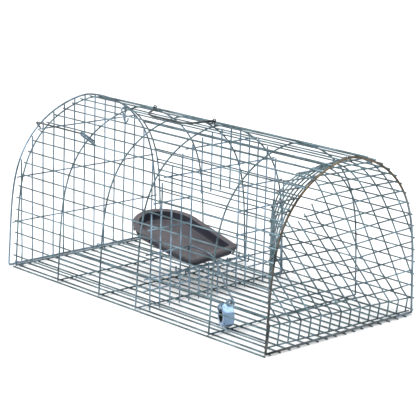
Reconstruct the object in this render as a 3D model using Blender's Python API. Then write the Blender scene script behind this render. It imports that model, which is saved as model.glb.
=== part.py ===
"""Live catch trap: an arched welded-mesh cage with a cone entry, a tilting pan and a rear door.

Lengths are in metres. +Z is up, the entry faces +X and the rear door -X. The origin is the
middle of the cage at the level that it stands on.
"""

import math

import bmesh
import bpy
import numpy as np

# Cage body
WIDTH = 0.210
HEIGHT = 0.1754
WIRE = 0.0016
PITCH = 0.01266
FIRST_WIRE = 0.0010
GAP = 0.0003
HOOP_X = (-0.1844, -0.1121, -0.0452, 0.0119, 0.1183)
FRONT_X = 0.1941
REAR_END_X = -0.1880
FRONT_END_X = 0.1997
BODY_PANELS = (("wall_near", 8), ("shoulder_near_low", 3), ("shoulder_near_high", 3), ("roof_near", 3),
               ("roof_crown", 3), ("roof_far", 3), ("shoulder_far_high", 3), ("shoulder_far_low", 3),
               ("wall_far", 8))
FLOOR_WIRES = 16
FLOOR_CROSS_X = (-0.1844, -0.1121, -0.0452, 0.0119, 0.0650, 0.1183, 0.1840)

# Entry cone: its mouth fills the front hoop down to a knee that drops towards the far side
APEX = np.array((0.0812, 0.0124, 0.1283))
MOUTH_X = 0.1936
KNEE_NEAR_Z = 0.0290
KNEE_FAR_Z = 0.0175
THROAT = 0.044
MOUTH_GAP = 0.0052
CONE_RINGS = (0.0, 0.16, 0.32, 0.48, 0.64, 0.80, 1.0)
CONE_RAY_SPACING = 0.150
SILL_X = 0.1905
SILL_NEAR_Z = 0.0075
SILL_FAR_Z = 0.0050
SILL_FIRST_Y = -0.0865
SILL_PITCH = 0.0132
SILL_WIRES = 14
CONE_PANELS = ("funnel_near_low", "funnel_near_side", "funnel_near_high", "funnel_near_crown",
               "funnel_far_crown", "funnel_far_high", "funnel_far_side", "funnel_far_low")

# Pan, its axle and the counterweight
PAN_PIVOT = (0.0080, 0.0, 0.0330)
PAN_LENGTH = 0.1085
PAN_FRONT = 0.0045
PAN_HALF_WIDTH = 0.0360
PAN_TAPER = 0.86
PAN_RIM = 0.0112
PAN_DEPTH = 0.0115
PAN_LIP = 0.0024
PAN_PITCH = math.radians(12.0)
PAN_ROLL = math.radians(3.5)
PAN_WALL = 0.0018
AXLE_RADIUS = 0.0013
AXLE_Z = 0.0285
NUT_CENTRE = (0.1150, -0.0790, 0.0156)
NUT_ACROSS_FLATS = 0.021
NUT_THICKNESS = 0.0110
NUT_BORE = 0.0063
NUT_TURN = math.radians(27)
ARM_RADIUS = 0.0009
ARM_Y = -0.0100

# Partition
PARTITION_X = 0.0215
PARTITION_PITCH = 0.0133
PASSAGE_NEAR = -0.0413
PASSAGE_FAR = 0.0252
PASSAGE_HIGH = 0.1150

# Rear door
DOOR_X = -0.1949
DOOR_PITCH = 0.0145
DOOR_FIRST = -0.0905
DOOR_OVERLAP = 0.0018
DOOR_WIRE = 0.0022
HINGE_Z = 0.0012
RING_WIRE = 0.0006

# Latch, handle and bait hook
LATCH_WIRE = 12
LATCH_ROD = 0.0009
LATCH_FRONT_X = -0.0920
SPRING_REAR_X = -0.1205
SPRING_TURNS = 8
HANDLE_REAR_X = -0.0800
HANDLE_FRONT_X = 0.0060
HOOK_X = -0.1150
HOOK_WIRE = 17

STEEL = (0.33, 0.38, 0.41)
BRONZE = (0.32, 0.25, 0.19)
ZINC = (0.62, 0.66, 0.70)
PLASTIC = (0.075, 0.078, 0.095)


def clear_scene():
    for obj in list(bpy.data.objects):
        bpy.data.objects.remove(obj, do_unlink=True)


def material(name, colour, metallic, roughness):
    made = bpy.data.materials.new(name)
    made.use_nodes = True
    shader = made.node_tree.nodes["Principled BSDF"]
    shader.inputs["Base Color"].default_value = (*colour, 1.0)
    shader.inputs["Metallic"].default_value = metallic
    shader.inputs["Roughness"].default_value = roughness
    return made


def add_object(name, points, faces, coat, origin=(0.0, 0.0, 0.0)):
    """One mesh object whose origin is at the given point."""
    shift = np.array(origin, float)
    mesh = bpy.data.meshes.new(name)
    mesh.from_pydata([tuple(np.array(p, float) - shift) for p in points], [], faces)
    mesh.materials.append(coat)
    mesh.validate()
    obj = bpy.data.objects.new(name, mesh)
    obj.location = shift
    bpy.context.scene.collection.objects.link(obj)
    return obj


def unit(vector):
    return vector / np.linalg.norm(vector)


# Wires and meshes of wires ------------------------------------------------------------------


def tube(name, path, radius, coat, sides=6, closed=False, origin=(0.0, 0.0, 0.0), side=None):
    """A round wire along a path, with flat ends, or joined to itself when closed."""
    path = [np.array(p, float) for p in path]
    count = len(path)
    points = []
    normal = np.array(side, float) if side is not None else np.array((0.31, 0.52, 0.79))
    for k in range(count):
        leaving = path[(k + 1) % count] - path[k] if k + 1 < count or closed else path[k] - path[k - 1]
        arriving = path[k] - path[k - 1] if k or closed else leaving
        arriving = unit(arriving)
        leaving = unit(leaving)
        along = unit(arriving + leaving)
        normal = unit(normal - along * normal.dot(along))
        across = np.cross(along, normal)
        stretch = 1.0 / max(0.6, arriving.dot(along))
        bend = leaving - arriving
        bend = unit(bend) if np.linalg.norm(bend) > 1e-6 else normal
        for n in range(sides):
            turn = 2.0 * math.pi * n / sides
            offset = radius * (math.cos(turn) * normal + math.sin(turn) * across)
            offset = offset + bend * bend.dot(offset) * (stretch - 1.0)
            points.append(path[k] + offset)
    faces = []
    last = count if closed else count - 1
    for k in range(last):
        low = k * sides
        high = ((k + 1) % count) * sides
        for n in range(sides):
            m = (n + 1) % sides
            faces.append((low + n, low + m, high + m, high + n))
    if not closed:
        faces.append(tuple(range(sides - 1, -1, -1)))
        faces.append(tuple((count - 1) * sides + n for n in range(sides)))
    return add_object(name, points, faces, coat, origin)


def lattice(name, nodes, normal_at, coat, wire=WIRE, origin=(0.0, 0.0, 0.0), cut=()):
    """Crossing square wires as one solid: nodes maps (row, column) to a point."""
    keys = sorted(nodes)
    rows = sorted({k[0] for k in keys})
    columns = sorted({k[1] for k in keys})
    cut = set(cut)

    def beside(key, axis, step):
        order = rows if axis == 0 else columns
        place = order.index(key[axis]) + step
        if not 0 <= place < len(order):
            return None
        other = (order[place], key[1]) if axis == 0 else (key[0], order[place])
        if other not in nodes or (key, other) in cut or (other, key) in cut:
            return None
        return other

    frames = {}
    links = {}
    hand = 0.0
    for key in keys:
        here = np.array(nodes[key], float)
        links[key] = [beside(key, 0, 1), beside(key, 0, -1), beside(key, 1, 1), beside(key, 1, -1)]
        normal = unit(np.array(normal_at(here), float))
        spans = []
        for plus, minus in ((links[key][0], links[key][1]), (links[key][2], links[key][3])):
            ahead = np.array(nodes[plus], float) if plus else here
            behind = np.array(nodes[minus], float) if minus else here
            spans.append(ahead - behind)
        frames[key] = (here, normal, spans)
        hand += np.cross(normal, spans[0]).dot(spans[1])
    hand = 1.0 if hand > 0.0 else -1.0
    half = wire / 2.0
    points = []
    base = {}
    for key in keys:
        here, normal, spans = frames[key]
        if np.linalg.norm(spans[0]) < 1e-9:
            spans[0] = hand * np.cross(spans[1], normal)
        first = unit(spans[0] - normal * normal.dot(spans[0]))
        second = hand * np.cross(normal, first)
        base[key] = len(points)
        for a in (-1, 1):
            for b in (-1, 1):
                for c in (-1, 1):
                    points.append(here + half * (a * first + b * second + c * normal))
    faces = []

    def corner(key, a, b, c):
        return base[key] + 4 * (a > 0) + 2 * (b > 0) + (c > 0)

    rim = ((-1, -1), (1, -1), (1, 1), (-1, 1))
    for key in keys:
        for c in (-1, 1):
            faces.append(tuple(corner(key, a, b, c) for a, b in rim))
        for index, (axis, sign) in enumerate(((0, 1), (0, -1), (1, 1), (1, -1))):
            place = (lambda s, p, q: (s, p, q)) if axis == 0 else (lambda s, p, q: (p, s, q))
            other = links[key][index]
            if other is None:
                faces.append(tuple(corner(key, *place(sign, p, q)) for p, q in rim))
            elif sign > 0:
                for n in range(4):
                    p, q = rim[n]
                    r, t = rim[(n + 1) % 4]
                    faces.append((corner(key, *place(1, p, q)), corner(key, *place(1, r, t)),
                                  corner(other, *place(-1, r, t)),
                                  corner(other, *place(-1, p, q))))
    obj = add_object(name, points, faces, coat, origin)
    face_outwards(obj)
    return obj


def face_outwards(obj):
    """Turns the faces of a closed mesh to face out."""
    work = bmesh.new()
    work.from_mesh(obj.data)
    bmesh.ops.recalc_face_normals(work, faces=work.faces)
    if work.calc_volume(signed=True) < 0.0:
        bmesh.ops.reverse_faces(work, faces=work.faces)
    work.to_mesh(obj.data)
    work.free()


# The arch that all the hoops follow ---------------------------------------------------------


def arch_half_width(z):
    share = min(max(z / HEIGHT, 0.0), 1.0)
    bulge = 0.5 * (1.0 - share ** 4.14) ** (1.0 / 1.566)
    return WIDTH * bulge - 0.069 * z * (1.0 - share)


def arch_table(steps=1200):
    """Points of the arch from the near foot over the ridge to the far foot, with arc length."""
    rise = [HEIGHT * (1.0 - (1.0 - k / steps) ** 3) for k in range(steps + 1)]
    near = [(-arch_half_width(z), z) for z in rise]
    far = [(-y, z) for y, z in reversed(near[:-1])]
    line = np.array(near + far)
    steps_along = np.hypot(*np.diff(line, axis=0).T)
    return line, np.concatenate([[0.0], np.cumsum(steps_along)])


ARCH, ARCH_S = arch_table()
ARCH_LENGTH = float(ARCH_S[-1])
BODY_WIRES = 37


def wire_place(index):
    """Arc length at which a long wire of the body runs."""
    return FIRST_WIRE + index * PITCH


def arch_point(s, inward=0.0):
    """(y, z) at arc length s, moved towards the inside of the arch."""
    y = np.interp(s, ARCH_S, ARCH[:, 0])
    z = np.interp(s, ARCH_S, ARCH[:, 1])
    step = 0.0015
    ahead = np.array((np.interp(s + step, ARCH_S, ARCH[:, 0]), np.interp(s + step, ARCH_S, ARCH[:, 1])))
    behind = np.array((np.interp(s - step, ARCH_S, ARCH[:, 0]), np.interp(s - step, ARCH_S, ARCH[:, 1])))
    along = unit(ahead - behind)
    return np.array((y + along[1] * inward, z - along[0] * inward))


def body_normal(point):
    """Direction out of the arched body at a point on it."""
    distance = np.hypot(ARCH[:, 0] - point[1], ARCH[:, 1] - point[2])
    s = float(ARCH_S[int(np.argmin(distance))])
    inside = arch_point(s, 0.01)
    outside = arch_point(s, -0.01)
    return (0.0, outside[0] - inside[0], outside[1] - inside[1])


# Parts --------------------------------------------------------------------------------------


def build_body(coat):
    """The arched body: long wires welded to hoops, in nine panels around the arch."""
    stations = (REAR_END_X,) + HOOP_X + (FRONT_END_X,)
    first = 0
    for name, wires in BODY_PANELS:
        last = first + wires - 1
        nodes = {}
        for k in range(first, last + 1):
            y, z = arch_point(wire_place(k))
            for column, x in enumerate(stations):
                nodes[(float(k), column)] = (x, y, z)
        low = wire_place(first - 0.5) + GAP / 2 + WIRE / 2
        high = wire_place(last + 0.5) - GAP / 2 - WIRE / 2
        ends = [(first - 0.5, low), (last + 0.5, high)]
        if first == 0:
            ends = ends[1:]
        if last == BODY_WIRES - 1:
            ends[-1] = (last + 0.5, ARCH_LENGTH - WIRE / 2)
        for row, s in ends:
            y, z = arch_point(s)
            for column, x in enumerate(HOOP_X):
                nodes[(row, column + 1)] = (x, y, z)
        edge_cuts = []
        for row in (first - 0.5, last + 0.5):
            for column in range(1, len(HOOP_X)):
                edge_cuts.append(((row, column), (row, column + 1)))
        lattice(name, nodes, body_normal, coat, cut=edge_cuts)
        first = last + 1


def build_floor(coat):
    """The flat floor mesh, its wires running the length of the cage."""
    half = WIDTH / 2 - WIRE - GAP - 0.0009
    inner = [(-0.469 + 0.0605 * k) * WIDTH for k in range(FLOOR_WIRES)]
    nodes = {}
    for row, y in enumerate(inner):
        for column, x in enumerate((REAR_END_X,) + FLOOR_CROSS_X + (0.1899,)):
            nodes[(float(row), column)] = (x, y, WIRE / 2)
    cuts = []
    for row, y in ((-1.0, -half), (float(FLOOR_WIRES), half)):
        for column, x in enumerate(FLOOR_CROSS_X):
            nodes[(row, column + 1)] = (x, y, WIRE / 2)
            cuts.append(((row, column + 1), (row, column + 2)))
    lattice("floor_mesh", nodes, lambda p: (0.0, 0.0, 1.0), coat, cut=cuts)


def build_front_arch(coat):
    """The stout front hoop, closed by a rail at floor level."""
    inward = 0.0030
    path = []
    for s in np.linspace(0.0035, ARCH_LENGTH - 0.0035, 40):
        y, z = arch_point(float(s), inward)
        path.append((FRONT_X, y, z))
    path[0] = (FRONT_X, path[0][1], 0.0012)
    path[-1] = (FRONT_X, path[-1][1], 0.0012)
    tube("front_arch", path, 0.0012, coat, closed=True, side=(1.0, 0.0, 0.0))


def across_cage(y, near, far):
    """A value that changes evenly from the near side of the cage to the far side."""
    return float(np.interp(y, (-0.5 * WIDTH, 0.5 * WIDTH), (near, far)))


def build_sill(coat):
    """The strip that stands under the cone's knee."""
    nodes = {}
    for row in range(SILL_WIRES):
        y = SILL_FIRST_Y + SILL_PITCH * row
        foot = across_cage(y, SILL_NEAR_Z, SILL_FAR_Z)
        knee = across_cage(y, KNEE_NEAR_Z, KNEE_FAR_Z)
        for column, z in enumerate((0.0028, foot, knee - 0.0022)):
            nodes[(float(row), column)] = (SILL_X, y, z)
    cuts = [((float(row), 0), (float(row + 1), 0)) for row in range(SILL_WIRES - 1)]
    lattice("funnel_sill", nodes, lambda p: (1.0, 0.0, 0.0), coat, cut=cuts)


def cone_table():
    """Angle, mouth distance and direction around the cone, from a cut at the crown."""
    found = []
    middle_z = 0.5 * (KNEE_NEAR_Z + KNEE_FAR_Z)
    for side, knee_z in ((1.0, KNEE_FAR_Z), (-1.0, KNEE_NEAR_Z)):
        knee_y = arch_half_width(knee_z)
        line = []
        for k in range(30):
            share = k / 29.0
            line.append((side * knee_y * share, middle_z + (knee_z - middle_z) * share))
        start = np.interp(knee_z, ARCH[:600, 1], ARCH_S[:600])
        for s in np.linspace(float(start), ARCH_LENGTH / 2, 400):
            y, z = arch_point(float(s))
            line.append((-side * y, z))
        line = np.array(line)
        x = np.full(len(line), MOUTH_X)
        rays = np.column_stack((x, line[:, 0], line[:, 1])) - APEX
        reach = np.linalg.norm(rays, axis=1)
        rays = rays / reach[:, None]
        turns = np.arccos(np.clip((rays[1:] * rays[:-1]).sum(axis=1), -1.0, 1.0))
        found.append((np.concatenate([[0.0], np.cumsum(turns)]), reach, rays))
    (far_t, far_r, far_u), (near_t, near_r, near_u) = found
    angle = np.concatenate([-near_t[::-1], far_t[1:]])
    reach = np.concatenate([near_r[::-1], far_r[1:]])
    rays = np.vstack([near_u[::-1], far_u[1:]])
    return angle, reach, rays


CONE_ANGLE, CONE_REACH, CONE_RAYS = cone_table()


def cone_point(angle, distance):
    ray = np.array([np.interp(angle, CONE_ANGLE, CONE_RAYS[:, k]) for k in range(3)])
    return APEX + unit(ray) * distance


def cone_normal(point):
    """Direction out of the cone at a point on it."""
    ray = unit(np.array(point) - APEX)
    near = int(np.argmax(CONE_RAYS @ ray))
    low = max(near - 4, 0)
    high = min(near + 4, len(CONE_RAYS) - 1)
    return np.cross(ray, CONE_RAYS[high] - CONE_RAYS[low])


def build_funnel(coat):
    """The entry cone in eight panels around it, cut open along the crown."""
    low = float(CONE_ANGLE[0]) + 0.012
    high = float(CONE_ANGLE[-1]) - 0.012
    bounds = np.linspace(low, high, len(CONE_PANELS) + 1)
    for panel, name in enumerate(CONE_PANELS):
        cone_panel(name, float(bounds[panel]), float(bounds[panel + 1]), coat)


def cone_panel(name, low, high, coat):
    """Rays from throat to mouth crossed by rings, on the cone between two angles."""
    def distance_at(angle, ring):
        reach = float(np.interp(angle, CONE_ANGLE, CONE_REACH)) - MOUTH_GAP
        return THROAT + CONE_RINGS[ring] * (reach - THROAT)

    rays = max(2, int(round((high - low) / CONE_RAY_SPACING)))
    step = (high - low) / rays
    last = len(CONE_RINGS) - 1
    nodes = {}
    cuts = []
    for row in range(rays):
        angle = low + (row + 0.5) * step
        for ring in range(last + 1):
            nodes[(float(row), ring)] = cone_point(angle, distance_at(angle, ring))
        cuts.append(((float(row), last), (float(row + 1), last)))
        cuts.append(((float(row), 0), (float(row + 1), 0)))
    for row, angle, inwards in ((-0.5, low, 1.0), (rays - 0.5, high, -1.0)):
        for ring in range(1, last):
            edge = angle + inwards * (GAP / 2 + WIRE / 2) / distance_at(angle, ring)
            nodes[(row, ring)] = cone_point(edge, distance_at(edge, ring))
            if ring + 1 < last:
                cuts.append(((row, ring), (row, ring + 1)))
    lattice(name, nodes, cone_normal, coat, cut=cuts)


def build_partition(coat):
    """The cross mesh with the passage over the pan, in four panels."""
    def panel(name, rows, columns):
        nodes = {}
        for row, y in enumerate(rows):
            top = partition_top(y)
            for column, z in enumerate(columns):
                if z < top - 0.004:
                    nodes[(float(row), column)] = (PARTITION_X, y, z)
            if name != "partition_sill" and top < columns[-1]:
                used = [c for r, c in nodes if r == row]
                nodes[(float(row), max(used) + 1 if used else 0)] = (PARTITION_X, y, top)
        cuts = []
        for row in range(len(rows)):
            for column in range(len(columns) + 1):
                a = (float(row), column)
                b = (float(row + 1), column)
                if a in nodes and b in nodes and abs(nodes[a][2] - nodes[b][2]) > 1e-6:
                    cuts.append((a, b))
        lattice(name, nodes, lambda p: (1.0, 0.0, 0.0), coat, cut=cuts)

    far_rows = [PASSAGE_FAR + PARTITION_PITCH * k for k in range(6)]
    near_rows = [PASSAGE_NEAR - PARTITION_PITCH * k for k in range(5)]
    levels = (0.0028, 0.0210, 0.0420, 0.0660, 0.0900, 0.1140, 0.1380, 0.1600)
    panel("partition_far_field", far_rows, levels)
    panel("partition_near_field", near_rows[::-1], levels)
    middle = [PASSAGE_NEAR + PARTITION_PITCH * (k + 1) for k in range(4)]
    sill_rows = [PASSAGE_NEAR + WIRE + GAP] + middle + [PASSAGE_FAR - WIRE - GAP]
    sill_nodes = {}
    header_nodes = {}
    sill_levels = (0.0028, 0.0210, 0.0330)
    header_levels = (PASSAGE_HIGH, 0.1380, 0.1590, 0.1700)
    for row, y in enumerate(sill_rows):
        edge = row in (0, len(sill_rows) - 1)
        for column, z in enumerate(sill_levels):
            if not (edge and column == 0):
                sill_nodes[(float(row), column)] = (PARTITION_X, y, z)
        for column, z in enumerate(header_levels):
            if not (edge and column == 3):
                top = min(z, partition_top(y) - 0.0004)
                header_nodes[(float(row), column)] = (PARTITION_X, y, top)
    sill_cuts = []
    header_cuts = []
    for row in range(len(sill_rows) - 1):
        sill_cuts.append(((float(row), 0), (float(row + 1), 0)))
        header_cuts.append(((float(row), 3), (float(row + 1), 3)))
    for row in (0, len(sill_rows) - 1):
        sill_cuts.append(((float(row), 1), (float(row), 2)))
        for column in range(2):
            header_cuts.append(((float(row), column), (float(row), column + 1)))
    up = lambda p: (1.0, 0.0, 0.0)
    lattice("partition_sill", sill_nodes, up, coat, cut=sill_cuts)
    lattice("partition_header", header_nodes, up, coat, cut=header_cuts)


def partition_top(y):
    """Height of the arch's inner side over a point of the floor, less a gap."""
    heights = np.linspace(0.02, HEIGHT, 500)
    widths = np.array([arch_half_width(float(z)) for z in heights])
    room = heights[widths > abs(y) + 0.0030]
    return float(room.max()) - 0.0034


def build_door(steel):
    """The rear door: a stout arched frame with its mesh on the inner side."""
    path = []
    for s in np.linspace(0.0035, ARCH_LENGTH - 0.0035, 36):
        y, z = arch_point(float(s), -DOOR_OVERLAP)
        path.append((DOOR_X, y, z))
    path[0] = (DOOR_X, path[0][1], HINGE_Z)
    path[-1] = (DOOR_X, path[-1][1], HINGE_Z)
    pivot = (DOOR_X, 0.0, HINGE_Z)
    tube("door_frame", path, DOOR_WIRE / 2, steel, closed=True, origin=pivot, side=(1.0, 0.0, 0.0))
    x = DOOR_X + DOOR_WIRE / 2 + WIRE / 2 + GAP
    levels = (0.0060, 0.0270, 0.0485, 0.0975, 0.1465)
    nodes = {}
    rows = [DOOR_FIRST + DOOR_PITCH * k for k in range(14)]
    cuts = []
    for row, y in enumerate(rows):
        top = partition_top(y) + 0.0026
        for column, z in enumerate(levels):
            if z < top - 0.004:
                nodes[(float(row), column)] = (x, y, z)
        used = [c for r, c in nodes if r == row]
        nodes[(float(row), max(used) + 1)] = (x, y, top)
    for row in range(len(rows) - 1):
        for column in range(len(levels) + 1):
            a = (float(row), column)
            b = (float(row + 1), column)
            if a in nodes and b in nodes:
                if abs(nodes[a][2] - nodes[b][2]) > 1e-6 or column < 2:
                    cuts.append((a, b))
    lattice("door_mesh", nodes, lambda p: (1.0, 0.0, 0.0), steel, origin=pivot, cut=cuts)
    reach = DOOR_WIRE / 2 + 0.0004 + RING_WIRE
    rear = DOOR_X - reach
    front = -0.1828
    top = HINGE_Z + reach
    for name, y in (("door_ring_near", -0.0965), ("door_ring_far", 0.0190)):
        ring = [(rear, y, RING_WIRE), (rear, y, HINGE_Z)]
        ring.append((DOOR_X - 0.707 * reach, y, HINGE_Z + 0.707 * reach))
        ring += [(DOOR_X, y, top), (front - 0.0012, y, top)]
        ring += [(front, y, top - 0.0012), (front, y, RING_WIRE)]
        tube(name, ring, RING_WIRE, steel, sides=6, side=(0.0, 1.0, 0.0))


def build_latch(steel):
    """A hooked rod on the near shoulder, and the spring that draws it against the door."""
    rod_s = wire_place(LATCH_WIRE) + 0.0072
    y, z = arch_point(rod_s, -0.0052)
    tip_y, tip_z = arch_point(rod_s, 0.0050)
    anchor_y, anchor_z = arch_point(wire_place(LATCH_WIRE))
    pivot = (LATCH_FRONT_X, anchor_y, anchor_z)
    end = DOOR_X - DOOR_WIRE / 2 - LATCH_ROD - 0.0006
    path = [(SPRING_REAR_X, y, z), (-0.1500, y, z), (end + 0.0008, y, z)]
    path += [(end, y + 0.1 * (tip_y - y), z + 0.1 * (tip_z - z)), (end, tip_y, tip_z)]
    tube("latch_rod", path, LATCH_ROD, steel, origin=pivot, side=(0.0, 0.6, 0.8))
    steps = 8
    rear = np.array((SPRING_REAR_X + 0.0028, y, z))
    front_y, front_z = arch_point(wire_place(LATCH_WIRE) + 0.0012, -0.0048)
    front = np.array((LATCH_FRONT_X - 0.0030, front_y, front_z))
    axis = unit(front - rear)
    side = unit(np.cross(axis, (0.0, 0.0, 1.0)))
    up = np.cross(side, axis)
    coil = []
    for k in range(SPRING_TURNS * steps + 1):
        turn = 2.0 * math.pi * k / steps
        centre = rear + (front - rear) * k / (SPRING_TURNS * steps)
        coil.append(centre + 0.0021 * (math.cos(turn) * side + math.sin(turn) * up))
    hook_y, hook_z = arch_point(wire_place(LATCH_WIRE), -0.0018)
    coil.append(np.array((LATCH_FRONT_X, hook_y, hook_z)))
    tube("latch_spring", coil, 0.0005, steel, sides=5, origin=pivot)


def build_handle(steel):
    """The folding carrying bail and the two eyes that it turns in."""
    axis_z = HEIGHT + 0.0042
    bend = ((0.0, 0.0, 0.0), (0.0010, -0.0040, -0.0003), (0.0100, -0.0190, -0.0018),
            (0.0190, -0.0245, -0.0025))
    path = [(HANDLE_REAR_X - 0.0040, 0.0, axis_z)]
    path += [(HANDLE_REAR_X + x, y, axis_z + z) for x, y, z in bend]
    path += [(HANDLE_FRONT_X - x, y, axis_z + z) for x, y, z in reversed(bend)]
    path.append((HANDLE_FRONT_X + 0.0040, 0.0, axis_z))
    centre = (0.5 * (HANDLE_REAR_X + HANDLE_FRONT_X), 0.0, axis_z)
    tube("handle_bail", path, 0.0014, steel, sides=8, origin=centre, side=(0.0, 0.1, 1.0))
    eyes = (("handle_eye_rear", HANDLE_REAR_X - 0.0022), ("handle_eye_front", HANDLE_FRONT_X + 0.0022))
    for name, x in eyes:
        ring = []
        for k in range(14):
            turn = 2.0 * math.pi * k / 14
            ring.append((x, 0.0026 * math.cos(turn), axis_z + 0.0026 * math.sin(turn)))
        tube(name, ring, 0.0006, steel, sides=5, closed=True, side=(1.0, 0.0, 0.0))


def build_bait_hook(steel):
    """The hook for bait, whose eye hangs on a roof wire behind the pan."""
    y, z = arch_point(wire_place(HOOK_WIRE))
    path = []
    for k in range(11):
        turn = math.radians(-40.0 + 31.0 * k)
        path.append((HOOK_X, y + 0.0023 * math.cos(turn), z + 0.0023 * math.sin(turn)))
    curl = ((0.0, -0.0060), (0.0, -0.0092), (0.0012, -0.0124), (0.0036, -0.0136), (0.0060, -0.0124),
            (0.0070, -0.0092))
    path += [(HOOK_X + x, y, z + drop) for x, drop in curl]
    tube("bait_hook", path, 0.0008, steel, origin=(HOOK_X, y, z), side=(1.0, 0.0, 0.0))


# The pan and what rides with it -------------------------------------------------------------


def pan_outline(grow, count=9):
    """Half round at the rear, narrower and square at the front, local to the pivot."""
    half = PAN_HALF_WIDTH + grow
    narrow = PAN_HALF_WIDTH * PAN_TAPER + grow
    front = PAN_FRONT + grow
    straight = PAN_FRONT + PAN_HALF_WIDTH - PAN_LENGTH
    line = [(front, -narrow + 0.0025), (front, narrow - 0.0025), (front - 0.0025, narrow)]
    for k in range(count):
        turn = math.pi * k / (count - 1)
        line.append((straight - half * math.sin(turn), half * math.cos(turn)))
    line.append((front - 0.0025, -narrow))
    return line


def pan_place(x, y, height):
    """A point of the pan, from its own flat frame to where it hangs."""
    turned_x = x * math.cos(PAN_PITCH) + height * math.sin(PAN_PITCH)
    turned_z = height * math.cos(PAN_PITCH) - x * math.sin(PAN_PITCH)
    return (PAN_PIVOT[0] + turned_x, PAN_PIVOT[1] + y * math.cos(PAN_ROLL),
            PAN_PIVOT[2] + turned_z + y * math.sin(PAN_ROLL))


def build_pan(plastic, steel, zinc):
    """The tilting pan, its axle and clips, and the arm that carries the nut."""
    base = PAN_RIM - PAN_DEPTH
    loops = [(-0.0010, base), (0.0, PAN_RIM - 0.0016), (PAN_LIP, PAN_RIM - 0.0016), (PAN_LIP, PAN_RIM),
             (-PAN_WALL, PAN_RIM), (-PAN_WALL - 0.0010, base + PAN_WALL)]
    points = []
    for grow, height in loops:
        points += [pan_place(x, y, height) for x, y in pan_outline(grow)]
    count = len(pan_outline(0.0))
    faces = []
    for loop in range(len(loops) - 1):
        low = loop * count
        for n in range(count):
            m = (n + 1) % count
            faces.append((low + n, low + m, low + count + m, low + count + n))
    faces.append(tuple(range(count - 1, -1, -1)))
    faces.append(tuple((len(loops) - 1) * count + n for n in range(count)))
    pan = add_object("pan_tray", points, faces, plastic, PAN_PIVOT)
    face_outwards(pan)

    axle = [(PAN_PIVOT[0], -0.0520, AXLE_Z), (PAN_PIVOT[0], 0.0520, AXLE_Z)]
    tube("pan_axle", axle, AXLE_RADIUS, steel, sides=8, side=(0.0, 0.0, 1.0))
    for name, y in (("axle_hanger_near", -0.0450), ("axle_hanger_far", 0.0450)):
        near = PARTITION_X - WIRE - GAP - 0.0004
        back = PAN_PIVOT[0] - 0.0026
        hanger = ((near, 0.0052), (near, -0.0014), (near - 0.0012, -0.0026), (back + 0.0012, -0.0026),
                  (back, -0.0014), (back, 0.0052))
        path = [(x, y, AXLE_Z + rise) for x, rise in hanger]
        tube(name, path, 0.0008, steel, side=(0.0, 1.0, 0.0))
    build_counterweight(steel, zinc)


def build_counterweight(steel, zinc):
    """The bent arm that rises over the pan's front lip, and the nut that it ends in."""
    centre = np.array(NUT_CENTRE)
    facing = np.array((-math.sin(NUT_TURN), -math.cos(NUT_TURN), 0.0))
    across = np.array((facing[1], -facing[0], 0.0))
    back = centre - facing * (NUT_THICKNESS / 2 + ARM_RADIUS + 0.0008)
    front = centre + facing * (NUT_THICKNESS / 2 + 0.0022)
    inside = centre[2] + NUT_BORE - ARM_RADIUS - 0.0006
    path = [(-0.0145, ARM_Y, 0.0410), (-0.0130, ARM_Y, 0.0448), (-0.0100, ARM_Y, 0.0460)]
    path += [(0.0100, ARM_Y, 0.0450), (0.0150, ARM_Y, 0.0445), (0.0240, ARM_Y, 0.0410)]
    path += [(0.0300, -0.0125, 0.0385), (0.0720, -0.0410, 0.0325), (0.1080, -0.0660, 0.0300)]
    path += [(back[0] - 0.0015, back[1] + 0.0010, 0.0296), (back[0], back[1], 0.0280)]
    path += [(back[0], back[1], inside + 0.0016)]
    path += [tuple(back[:2] + 0.0016 * facing[:2]) + (inside,), (front[0], front[1], inside)]
    path += [(front[0] + 0.0008 * facing[0], front[1] + 0.0008 * facing[1], inside + 0.0030)]
    tube("counterweight_arm", path, ARM_RADIUS, steel, sides=6, origin=PAN_PIVOT)

    corner = NUT_ACROSS_FLATS / math.sqrt(3.0)
    loops = []
    for shift, radius, sides in ((-1, NUT_BORE, 12), (-1, 0.0, 0), (1, 0.0, 0), (1, NUT_BORE, 12)):
        ring = []
        for k in range(12):
            turn = math.pi * k / 6.0
            if sides:
                reach = radius
            else:
                reach = corner if k % 2 == 0 else corner * math.cos(math.pi / 6.0)
            flat = reach * math.sin(turn) * across + np.array((0.0, 0.0, reach * math.cos(turn)))
            ring.append(centre + flat + shift * 0.5 * NUT_THICKNESS * facing)
        loops.append(ring)
    points = [p for ring in loops for p in ring]
    faces = []
    for loop in range(4):
        for k in range(12):
            m = (k + 1) % 12
            other = (loop + 1) % 4
            faces.append((loop * 12 + k, loop * 12 + m, other * 12 + m, other * 12 + k))
    nut = add_object("hex_nut", points, faces, zinc, tuple(centre))
    face_outwards(nut)


def build_all():
    clear_scene()
    steel = material("galvanised_steel", STEEL, 0.8, 0.45)
    bronze = material("bronzed_steel", BRONZE, 0.8, 0.45)
    zinc = material("zinc_plated_steel", ZINC, 0.9, 0.35)
    plastic = material("dark_plastic", PLASTIC, 0.0, 0.5)
    build_body(steel)
    build_floor(steel)
    build_front_arch(bronze)
    build_sill(steel)
    build_funnel(steel)
    build_partition(steel)
    build_door(steel)
    build_latch(steel)
    build_handle(steel)
    build_bait_hook(steel)
    build_pan(plastic, steel, zinc)


build_all()
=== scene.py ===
"""Looks of the live catch trap: round welded wires, rolled cone entry, plastic pan and steel nut.

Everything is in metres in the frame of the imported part: +Z up, the entry faces +X.
"""

import math

import bpy
import numpy as np
from mathutils import Matrix, Vector


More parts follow.
